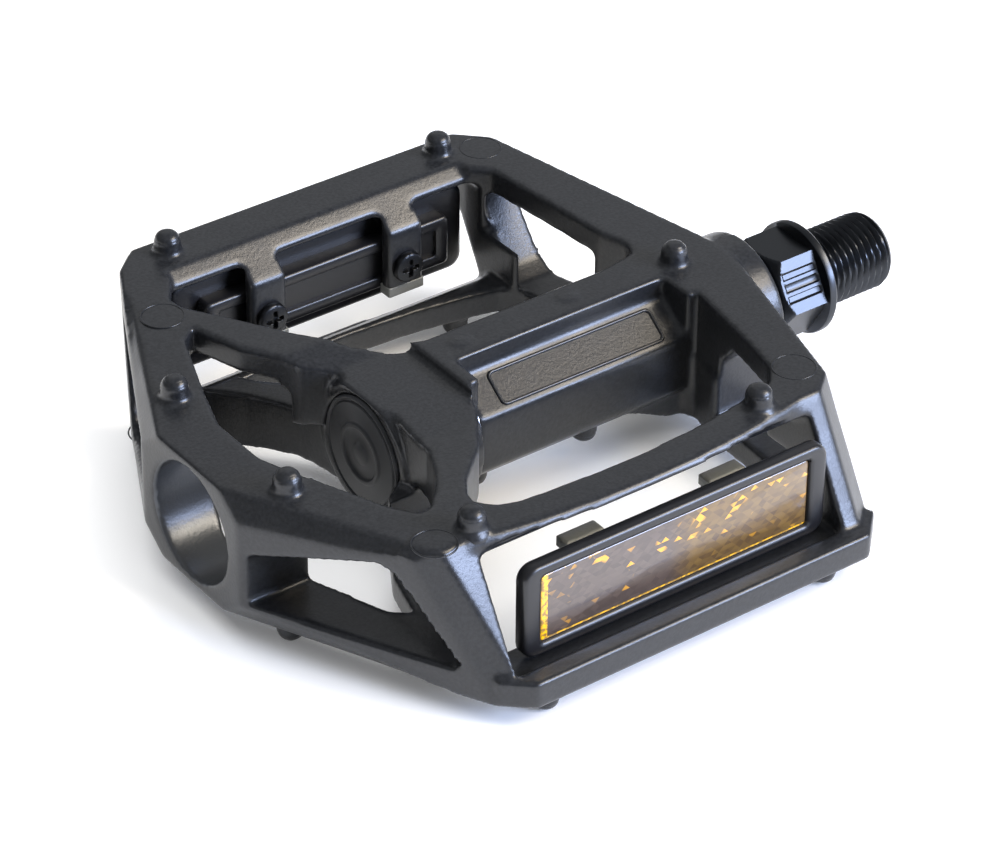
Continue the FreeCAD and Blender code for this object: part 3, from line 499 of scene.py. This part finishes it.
# %% Dust cap
cap_black, tree, shader = new_material("moulded_black_polypropylene", Roughness=0.45, IOR=1.49)
shader.inputs["Base Color"].default_value = linear("#1d1e20")
grain(tree, shader, 0.35, 0.01, strength=0.5)
cap_profile = np.array([
    [-83.3, 0.3], [-83.3, 7.7], [-80.5, 7.8], [-80.4, 8.0], [-80.4, 9.0], [-80.6, 9.18],
    [-84.2, 9.18], [-84.5, 9.0], [-84.55, 8.85], [-84.5, 8.7], [-84.2, 8.6], [-84.15, 8.4],
    [-84.3, 8.25], [-84.5, 8.15], [-84.55, 8.0], [-84.5, 5.2], [-84.6, 5.0], [-84.8, 4.9],
    [-84.85, 4.75], [-84.85, 4.35], [-84.8, 4.2], [-84.6, 4.1], [-84.5, 3.9], [-84.48, 2.0],
    [-84.6, 1.75], [-84.75, 1.55], [-84.78, 0.2]])
cap = build("dust_cap_face", [closed_grid(revolve(cap_profile, 96))], sharp=60.0)
finish_piece(cap, "platform", "cap_plastic", cap_black, "dust_cap")

# %% [markdown]
# ## Reflectors
# Each reflector is a black moulded housing: a frame round the lens and a narrower block behind
# it that the screws go into. It is a stack of rounded rectangles, each with its own size and
# depth, joined row by row. The rear one is the front one after half a turn.


# %% Housings
def stack(middle_x, rows):
    """Rounded rectangles (half length, half height, corner, y) joined one after another."""
    grid = []
    for half_long, half_high, corner, y in rows:
        ring_points = rounded_loop(half_long, half_high, corner)
        grid.append(np.stack([middle_x + ring_points[:, 0], np.full(len(ring_points), y),
                              ring_points[:, 1]], axis=1))
    return np.array(grid)


REFLECTOR_X = -61.6
abs_black, tree, shader = new_material("moulded_black_abs", Roughness=0.34, IOR=1.54)
shader.inputs["Base Color"].default_value = linear("#141416")
grain(tree, shader, 0.4, 0.006, strength=0.4)
housing_rows = [
    (20.6, 2.4, 0.6, -42.0), (20.6, 2.4, 0.6, -41.35), (20.8, 2.6, 0.7, -41.2),
    (22.5, 3.95, 0.8, -41.2), (22.8, 4.25, 0.8, -41.35), (22.9, 4.35, 0.8, -41.7),
    (22.9, 4.35, 0.8, -44.0), (26.8, 7.1, 1.9, -44.0), (27.3, 7.6, 2.2, -44.15),
    (27.5, 7.8, 2.4, -44.5), (27.5, 7.8, 2.4, -45.8), (27.4, 7.7, 2.3, -46.2),
    (27.15, 7.45, 2.1, -46.43), (26.8, 7.1, 1.9, -46.5), (25.1, 6.5, 1.2, -46.5),
    (24.7, 6.1, 1.0, -46.42), (24.45, 5.9, 0.8, -46.2), (24.3, 5.75, 0.7, -45.7),
    (24.3, 5.75, 0.7, -44.5)]
housing_grid = stack(REFLECTOR_X, housing_rows)
front_housing = build("front_reflector_housing", [closed_grid(housing_grid)], sharp=50.0)
finish_piece(front_housing, "platform", "housing_plastic", abs_black, "front_housing")
rear_housing = build("rear_reflector_housing", [closed_grid(half_turn(housing_grid))], sharp=50.0)
finish_piece(rear_housing, "platform", "housing_plastic", abs_black, "rear_housing")

# %% [markdown]
# ## Amber lens
# The lens is acrylic with a smooth face and rows of tiny prisms moulded into its back. Seen from
# the side most prisms look a dull brown, a few flash gold, and the lower edge glows because it
# collects light. The crank half has its prisms turned the other way, so it looks richer. The
# prisms are not modelled, and their light is painted on a smooth, clear-coated plate. Diamonds
# laid out in millimetres are each split into two faces that get a lit or a shaded colour by
# chance (painted reflection). A few faces become emissive gold flashes (painted highlights), and
# the end and lower edges get an emissive painted glow.

# %% Lens material
PRISMS_PER_M = 1.0 / (1.1 * MM)
END_EDGE_X = -84.7
LOW_EDGE_Z = 5.25
EDGE_GLOW = 0.25
amber, tree, shader = new_material("amber_prismatic_acrylic", Roughness=0.28, IOR=1.49,
                                   Coat_Weight=1.0, Coat_Roughness=0.06)
where = place(tree)
parts = add(tree, "ShaderNodeSeparateXYZ", {"Vector": where})
flat = add(tree, "ShaderNodeCombineXYZ", {"X": parts.outputs["X"], "Y": parts.outputs["Z"]})
lattice = add(tree, "ShaderNodeMapping",
              {"Vector": flat.outputs[0], "Rotation": (0.0, 0.0, math.radians(45.0)),
               "Scale": (PRISMS_PER_M, PRISMS_PER_M, 1.0)})
cell = add(tree, "ShaderNodeVectorMath", {0: lattice.outputs[0]}, operation="FLOOR")
inside_cell = add(tree, "ShaderNodeVectorMath", {0: lattice.outputs[0]}, operation="FRACTION")
corner = add(tree, "ShaderNodeSeparateXYZ", {"Vector": inside_cell.outputs[0]})
left_face = add(tree, "ShaderNodeMath",
                {0: corner.outputs["X"], 1: corner.outputs["Y"]}, operation="GREATER_THAN")
face_number = add(tree, "ShaderNodeCombineXYZ", {"Z": left_face.outputs[0]})
face_id = add(tree, "ShaderNodeVectorMath",
              {0: cell.outputs[0], 1: face_number.outputs[0]}, operation="ADD")
dice = add(tree, "ShaderNodeTexWhiteNoise", {"Vector": face_id.outputs[0]})
chance = add(tree, "ShaderNodeSeparateColor", {"Color": dice.outputs["Color"]})
crank_half = add(tree, "ShaderNodeMapRange",
                 {"Value": parts.outputs["X"], "From Min": -63.0 * MM, "From Max": -58.5 * MM})
turned_y = add(tree, "ShaderNodeMath",
               {0: parts.outputs["Y"], 1: 0.0}, operation="GREATER_THAN")
sign = add(tree, "ShaderNodeMapRange",
           {"Value": turned_y.outputs[0], "To Min": -1.0, "To Max": 1.0})
depth = add(tree, "ShaderNodeMath",
            {0: parts.outputs["Z"], 1: sign.outputs[0]}, operation="MULTIPLY")
# Painted reflection: each prism face gets a lit or a shaded colour by chance, and both are warmer
# on the crank half.
shaded_facet_colour = add(tree, "ShaderNodeMix",
           {0: crank_half.outputs[0], 6: linear("#463b35"), 7: linear("#513d27")},
           data_type="RGBA")
lit = add(tree, "ShaderNodeMix",
          {0: crank_half.outputs[0], 6: linear("#564941"), 7: linear("#6f562f")},
          data_type="RGBA")
facets = add(tree, "ShaderNodeMix",
             {0: chance.outputs[1], 6: shaded_facet_colour.outputs[2], 7: lit.outputs[2]}, data_type="RGBA")
upper = add(tree, "ShaderNodeMapRange",
            {"Value": depth.outputs[0], "From Min": 1.5 * MM, "From Max": -4.0 * MM,
             "To Min": -0.05, "To Max": 0.13})
band = add(tree, "ShaderNodeMapRange",
           {"Value": crank_half.outputs[0], "To Min": 0.0, "To Max": 0.05})
patches = add(tree, "ShaderNodeTexNoise",
              {"Vector": flat.outputs[0], "Scale": 1.0 / (4.0 * MM), "Detail": 1.0})
lift = add(tree, "ShaderNodeMapRange",
           {"Value": patches.outputs["Fac"], "From Min": 0.4, "From Max": 0.65,
            "To Min": -0.16, "To Max": 0.10})
score = add(tree, "ShaderNodeMath", {0: chance.outputs[0], 1: upper.outputs[0]}, operation="ADD")
score = add(tree, "ShaderNodeMath", {0: score.outputs[0], 1: band.outputs[0]}, operation="ADD")
score = add(tree, "ShaderNodeMath", {0: score.outputs[0], 1: lift.outputs[0]}, operation="ADD")
# Painted highlight: the highest scores become gold flashes, with more of them on the crank half
# and further from the lower edge.
gold = add(tree, "ShaderNodeMapRange",
           {"Value": score.outputs[0], "From Min": 0.96, "From Max": 1.10, "To Max": 0.75})
golden = add(tree, "ShaderNodeMix",
             {0: gold.outputs[0], 6: facets.outputs[2], 7: linear("#e9a524")},
             data_type="RGBA")
# Painted glow: the end and lower edges turn a grainy bright amber.
end_edge = add(tree, "ShaderNodeMath",
               {0: parts.outputs["X"], 1: END_EDGE_X * MM}, operation="LESS_THAN")
low_edge = add(tree, "ShaderNodeMath",
               {0: depth.outputs[0], 1: LOW_EDGE_Z * MM}, operation="GREATER_THAN")
edges = add(tree, "ShaderNodeMath",
            {0: end_edge.outputs[0], 1: low_edge.outputs[0]}, operation="MAXIMUM")
grains = add(tree, "ShaderNodeTexNoise",
             {"Vector": flat.outputs[0], "Scale": 1.0 / (0.7 * MM), "Detail": 1.0})
glow = add(tree, "ShaderNodeMapRange",
           {"Value": grains.outputs["Fac"], "From Min": 0.38, "From Max": 0.6,
            "To Min": 0.25, "To Max": 1.0})
painted_edge_glow = add(tree, "ShaderNodeMath",
             {0: edges.outputs[0], 1: glow.outputs[0]}, operation="MULTIPLY")
colour = add(tree, "ShaderNodeMix",
             {0: painted_edge_glow.outputs[0], 6: golden.outputs[2], 7: linear("#f2b40c")},
             data_type="RGBA")
tree.links.new(colour.outputs[2], shader.inputs["Base Color"])
# Painted glow: the edges and the gold flashes are emissive.
bright = add(tree, "ShaderNodeMath",
             {0: painted_edge_glow.outputs[0], 1: gold.outputs[0]}, operation="MAXIMUM")
tree.links.new(colour.outputs[2], shader.inputs["Emission Color"])
power = add(tree, "ShaderNodeMath", {0: bright.outputs[0], 1: EDGE_GLOW}, operation="MULTIPLY")
tree.links.new(power.outputs[0], shader.inputs["Emission Strength"])
print("material", amber.name)

# %% Lenses
lens_rows = [
    (24.2, 5.65, 0.6, -44.9), (24.25, 5.7, 0.65, -45.0), (24.25, 5.7, 0.65, -45.85),
    (24.15, 5.6, 0.6, -45.97), (23.95, 5.4, 0.5, -46.02)]
lens_grid = stack(REFLECTOR_X, lens_rows)
front_lens = build("front_reflector_lens", [closed_grid(lens_grid)], sharp=50.0)
finish_piece(front_lens, "platform", "amber_lens", amber, "front_lens")
rear_lens = build("rear_reflector_lens", [closed_grid(half_turn(lens_grid))], sharp=50.0)
finish_piece(rear_lens, "platform", "amber_lens", amber, "rear_lens")

# %% [markdown]
# ## Screws
# Four pan-head screws hold the housings to the lugs. The head is a low dome, and its cross is
# a dip in the same grid: the surface drops where a point is close to one of two crossed lines.

# %% Screws
black_oxide, tree, shader = new_material("black_oxide_screw_steel", Metallic=1.0, Roughness=0.38)
shader.inputs["Base Color"].default_value = linear("#3b3c3e")
grain(tree, shader, 0.3, 0.008, strength=0.5)
SEAT_Y = 38.8
SLOT_HALF, SLOT_REACH, SLOT_DEEP = 0.42, 1.55, 0.75
t = np.arange(64) * 2 * np.pi / 64
crown = np.linspace(2.2, 0.05, 20)
rise = np.concatenate([[-3.4, -3.4, 0.0, 0.0, 0.25, 0.8, 1.15],
                       1.5 - 0.25 * (crown / 2.2) ** 2])
reach = np.concatenate([[0.2, 1.3, 1.45, 2.45, 2.6, 2.6, 2.45], crown])
u = reach[:, None] * np.cos(t)
v = reach[:, None] * np.sin(t)
arm = np.minimum(np.maximum(np.abs(u) - SLOT_HALF, np.abs(v) - SLOT_REACH),
                 np.maximum(np.abs(v) - SLOT_HALF, np.abs(u) - SLOT_REACH))
dip = SLOT_DEEP * np.clip(-arm / 0.12, 0, 1) * (rise > 1.2)[:, None]
y = rise[:, None] - dip
for tag, side in (("front", -1), ("rear", 1)):
    for place_name, x in LUG_PLACES.items():
        grid = np.stack([x + u, side * (SEAT_Y - y), v], axis=-1)
        label = tag + "_screw_" + place_name
        screw = build(label + "_head", [closed_grid(grid)], sharp=45.0)
        finish_piece(screw, "platform", "screw_steel", black_oxide, label)

# %% [markdown]
# ## Bearing parts
# The races, balls, cone, washer, nut and seal are hidden inside the barrel and already have the
# right shape, so they stay as the CAD gives them and only get their finish.

# %% Bearing finishes
ground, tree, shader = new_material("ground_bearing_steel", Metallic=1.0, Roughness=0.22)
shader.inputs["Base Color"].default_value = linear("#b4b5b8")
zinc, tree, shader = new_material("zinc_plated_steel", Metallic=1.0, Roughness=0.35)
shader.inputs["Base Color"].default_value = linear("#b9bab2")
nitrile, tree, shader = new_material("moulded_nitrile_rubber", Roughness=0.7, IOR=1.52)
shader.inputs["Base Color"].default_value = linear("#161617")
grey_abs, tree, shader = new_material("moulded_grey_abs", Roughness=0.5, IOR=1.54)
shader.inputs["Base Color"].default_value = linear("#3a3a3a")
finishes = {
    ground: ("inboard_cup", "inboard_balls", "outboard_cup", "outboard_balls", "outboard_cone"),
    zinc: ("keyed_washer", "lock_nut"),
    nitrile: ("inboard_seal",),
    grey_abs: ("front_backing", "rear_backing"),
}
for material, names in finishes.items():
    for name in names:
        nodes[name].data.materials.clear()
        nodes[name].data.materials.append(material)
print("finished", sum(len(names) for names in finishes.values()), "inner parts")

# %% [markdown]
# ## Camera, floor and light
# The camera looks down at the front reflector from the outer end, through a long lens. Two
# windows stand in front on the right, a cool one low down and a warm one above it: black paint
# shows almost nothing but its reflections, so these two make most of the picture. A weak card
# behind lifts the decks, and the overhead light softens the shadows without being mirrored.

# %% Camera
AZIMUTH, ELEVATION, ROLL = (math.radians(a) for a in (-36.657, 34.112, 0.463))
TARGET = np.array([-55.0, 0.0, 0.0])
OFFSET = np.array([-4.601, -2.574, 612.162])
back = np.array([math.sin(AZIMUTH) * math.cos(ELEVATION),
                 -math.cos(AZIMUTH) * math.cos(ELEVATION), math.sin(ELEVATION)])
right = np.array([math.cos(AZIMUTH), math.sin(AZIMUTH), 0.0])
up = np.cross(back, right)
axes = np.stack([right * math.cos(ROLL) + up * math.sin(ROLL),
                 -right * math.sin(ROLL) + up * math.cos(ROLL), back])
camera_data = bpy.data.cameras.new("camera")
camera_data.sensor_width = 36.0
camera_data.lens = 145.89
camera_data.shift_x = 0.0095
camera_data.shift_y = -0.0193
camera_data.clip_start = 0.01
camera_data.clip_end = 20.0
camera = bpy.data.objects.new("camera", camera_data)
bpy.context.scene.collection.objects.link(camera)
camera.location = ((TARGET + OFFSET @ axes) * MM).tolist()
camera.rotation_mode = "QUATERNION"
turn = np.eye(4)
turn[:3, :3] = axes.T
camera.rotation_quaternion = Matrix(turn.tolist()).to_quaternion()
bpy.context.scene.camera = camera
print("camera at", np.round(np.array(camera.location), 3).tolist())

# %% Floor
FLOOR_GAP = 0.0001
FLOOR_HALF = 4
FLOOR_Z = cad_box[0][2] - FLOOR_GAP
floor_corners = [(x * FLOOR_HALF, y * FLOOR_HALF, FLOOR_Z)
                 for x, y in ((-1, -1), (1, -1), (1, 1), (-1, 1))]
floor_mesh = bpy.data.meshes.new("floor")
floor_mesh.from_pydata(floor_corners, [], [(0, 1, 2, 3)])
floor = bpy.data.objects.new("floor", floor_mesh)
bpy.context.scene.collection.objects.link(floor)
pale, tree, shader = new_material("pale_paper_floor", Roughness=0.9)
shader.inputs["Base Color"].default_value = linear("#f4f4f4")
shader.inputs["Specular IOR Level"].default_value = 0.1
shader.inputs["Emission Color"].default_value = linear("#ffffff")
shader.inputs["Emission Strength"].default_value = 0.12
floor_mesh.materials.append(pale)


# %% Lights
def softbox(name, direction, distance, wide, high, watts, colour, glossy=True):
    """A rectangular area light in that direction from the pedal, facing it."""
    data = bpy.data.lights.new(name, "AREA")
    data.shape = "RECTANGLE"
    data.size = wide
    data.size_y = high
    data.energy = watts
    data.color = linear(colour)[:3]
    lamp = bpy.data.objects.new(name, data)
    bpy.context.scene.collection.objects.link(lamp)
    towards = Vector(direction).normalized()
    centre = Vector((-0.055, 0.0, 0.0))
    lamp.location = centre + towards * distance
    lamp.rotation_mode = "QUATERNION"
    lamp.rotation_quaternion = towards.to_track_quat("Z", "Y")
    lamp.visible_glossy = glossy
    return lamp


softbox("cool_window", (0.50, -0.80, 0.33), 1.2, 0.75, 0.36, 27.0, "#c6d8ff")
softbox("warm_window", (0.49, -0.57, 0.66), 1.2, 0.60, 0.34, 11.0, "#fff2de")
softbox("rear_card", (0.49, 0.66, 0.56), 1.4, 1.4, 0.9, 1.2, "#ffffff")
softbox("overhead", (0.0, 0.1, 1.0), 1.5, 2.0, 2.0, 34.0, "#ffffff", glossy=False)
world = bpy.data.worlds.new("studio_room")
world.use_nodes = True
world.node_tree.nodes["Background"].inputs["Color"].default_value = linear("#b9bcc2")
world.node_tree.nodes["Background"].inputs["Strength"].default_value = 0.48
bpy.context.scene.world = world
bpy.context.scene.view_settings.view_transform = "Standard"
print("lights placed")
